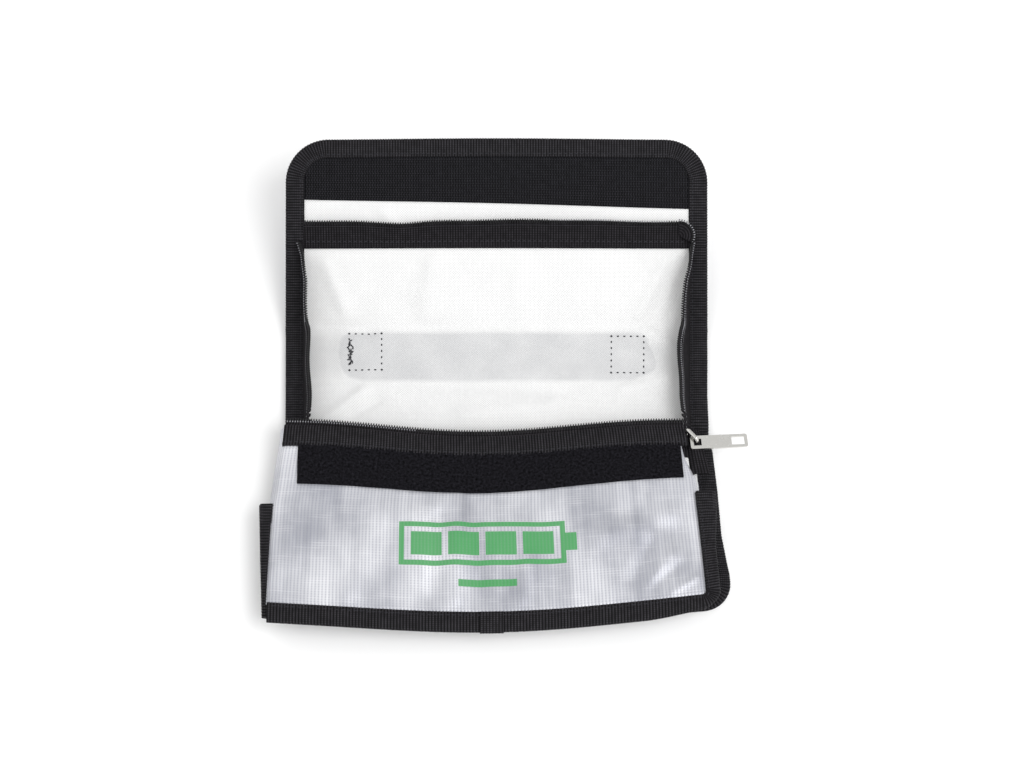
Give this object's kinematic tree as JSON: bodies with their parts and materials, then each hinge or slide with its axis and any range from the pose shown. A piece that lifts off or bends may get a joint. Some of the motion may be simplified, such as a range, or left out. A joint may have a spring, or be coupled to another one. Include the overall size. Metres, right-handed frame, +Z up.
{
  "type": "lipo battery safety bag",
  "caption": "Open fire-resistant battery safety bag with zipped lid, hook-and-loop flap and folding gussets.",
  "frame": {"origin": "centre of the back panel on its resting face, halfway between the bottom seam and the lid hinge", "axes": "+X to the right of the open bag, +Y from the body towards the lid and flap, +Z up out of the resting face"},
  "size_m": [0.2309, 0.238, 0.0481],
  "materials": {
    "silver_cloth": "aluminised coated glass-fibre cloth with fine ribs",
    "white_lining": "white woven glass-fibre cloth",
    "black_binding": "ribbed black nylon tape",
    "zip_tape": "black woven polyester tape",
    "zip_coil": "black nylon coil",
    "loop_fabric": "fuzzy black loop pile",
    "hook_fabric": "black moulded hooks on woven tape",
    "webbing": "black nylon webbing",
    "thread": "dark sewing thread",
    "black_enamel": "black enamelled zinc",
    "nickel": "bright nickel plating"
  },
  "bodies": {
    "back": {"back_outer": "silver_cloth", "back_lining": "white_lining", "back_binding": "black_binding"},
    "bottom_lower": {"bottom_lower_outer": "silver_cloth", "bottom_lower_lining": "white_lining"},
    "bottom_upper": {"bottom_upper_outer": "silver_cloth", "bottom_upper_lining": "white_lining"},
    "front": {"front_outer": "silver_cloth", "front_lining": "white_lining", "loop_strip": "loop_fabric", "front_binding": "black_binding", "mouth_binding": "black_binding", "front_zip_tape": "zip_tape", "front_zip_coil": "zip_coil"},
    "lid": {"lid_outer": "silver_cloth", "lid_lining": "white_lining", "lid_binding": "black_binding", "lid_side_tapes": "zip_tape", "lid_side_coils": "zip_coil", "handle_strap": "webbing", "handle_stitching": "thread"},
    "flap": {"flap_outer": "silver_cloth", "flap_lining": "white_lining", "flap_binding": "black_binding", "hook_strip": "hook_fabric", "flap_zip_tape": "zip_tape", "flap_zip_coil": "zip_coil"},
    "slider": {"slider_body": "black_enamel"},
    "pull_link": {"pull_link": "nickel"},
    "pull_tab": {"pull_tab": "nickel"},
    "left_lower": {"left_lower_outer": "silver_cloth", "left_lower_lining": "white_lining", "left_lower_tape": "zip_tape", "left_lower_coil": "zip_coil"},
    "left_upper": {"left_upper_outer": "silver_cloth", "left_upper_lining": "white_lining", "left_upper_tape": "zip_tape", "left_upper_coil": "zip_coil"},
    "right_lower": {"right_lower_outer": "silver_cloth", "right_lower_lining": "white_lining", "right_lower_tape": "zip_tape", "right_lower_coil": "zip_coil"},
    "right_upper": {"right_upper_outer": "silver_cloth", "right_upper_lining": "white_lining", "right_upper_tape": "zip_tape", "right_upper_coil": "zip_coil"}
  },
  "joints": [
    {"name": "body_expand", "type": "hinge", "parent": "back", "child": "bottom_lower", "pos_m": [0, -0.042, 0.00205], "axis": [1, 0, 0], "range_deg": [0, 72]},
    {"name": "bottom_crease", "type": "hinge", "parent": "bottom_lower", "child": "bottom_upper", "pos_m": [0, 0.00064, 0.00774], "axis": [1, 0, 0], "range_deg": [-144, 0]},
    {"name": "front_seam", "type": "hinge", "parent": "bottom_upper", "child": "front", "pos_m": [0, -0.04797, 0.01405], "axis": [1, 0, 0], "range_deg": [0, 72]},
    {"name": "left_seam", "type": "hinge", "parent": "back", "child": "left_lower", "pos_m": [-0.0926, 0, 0.00205], "axis": [0, -1, 0], "range_deg": [0, 72]},
    {"name": "left_crease", "type": "hinge", "parent": "left_lower", "child": "left_upper", "pos_m": [-0.04698, 0, 0.00805], "axis": [0, -1, 0], "range_deg": [-144, 0]},
    {"name": "right_seam", "type": "hinge", "parent": "back", "child": "right_lower", "pos_m": [0.0926, 0, 0.00205], "axis": [0, 1, 0], "range_deg": [0, 72]},
    {"name": "right_crease", "type": "hinge", "parent": "right_lower", "child": "right_upper", "pos_m": [0.04698, 0, 0.00805], "axis": [0, 1, 0], "range_deg": [-144, 0]},
    {"name": "lid_fold", "type": "hinge", "parent": "back", "child": "lid", "pos_m": [0, 0.042, 0.0052], "axis": [1, 0, 0], "range_deg": [0, 68]},
    {"name": "flap_fold", "type": "hinge", "parent": "lid", "child": "flap", "pos_m": [0, 0.13279, 0.0241], "axis": [1, 0, 0], "range_deg": [-5, 76]},
    {"name": "slider_travel", "type": "slide", "parent": "lid", "child": "slider", "axis": [0, 1, 0], "range_m": [0, 0.027]},
    {"name": "link_swing", "type": "hinge", "parent": "slider", "child": "pull_link", "pos_m": [0.0999, 0.0458, 0.0134], "axis": [0, 0, 1], "range_deg": [-6, 12]},
    {"name": "tab_tilt", "type": "hinge", "parent": "pull_link", "child": "pull_tab", "pos_m": [0.10504, 0.03967, 0.0134], "axis": [0, 1, 0], "range_deg": [-12, 20]}
  ],
  "couplings": [
    {"joint": "bottom_crease", "follows": "body_expand", "ratio": -2},
    {"joint": "front_seam", "follows": "body_expand", "ratio": 1},
    {"joint": "left_seam", "follows": "body_expand", "ratio": 1},
    {"joint": "left_crease", "follows": "body_expand", "ratio": -2},
    {"joint": "right_seam", "follows": "body_expand", "ratio": 1},
    {"joint": "right_crease", "follows": "body_expand", "ratio": -2}
  ]
}
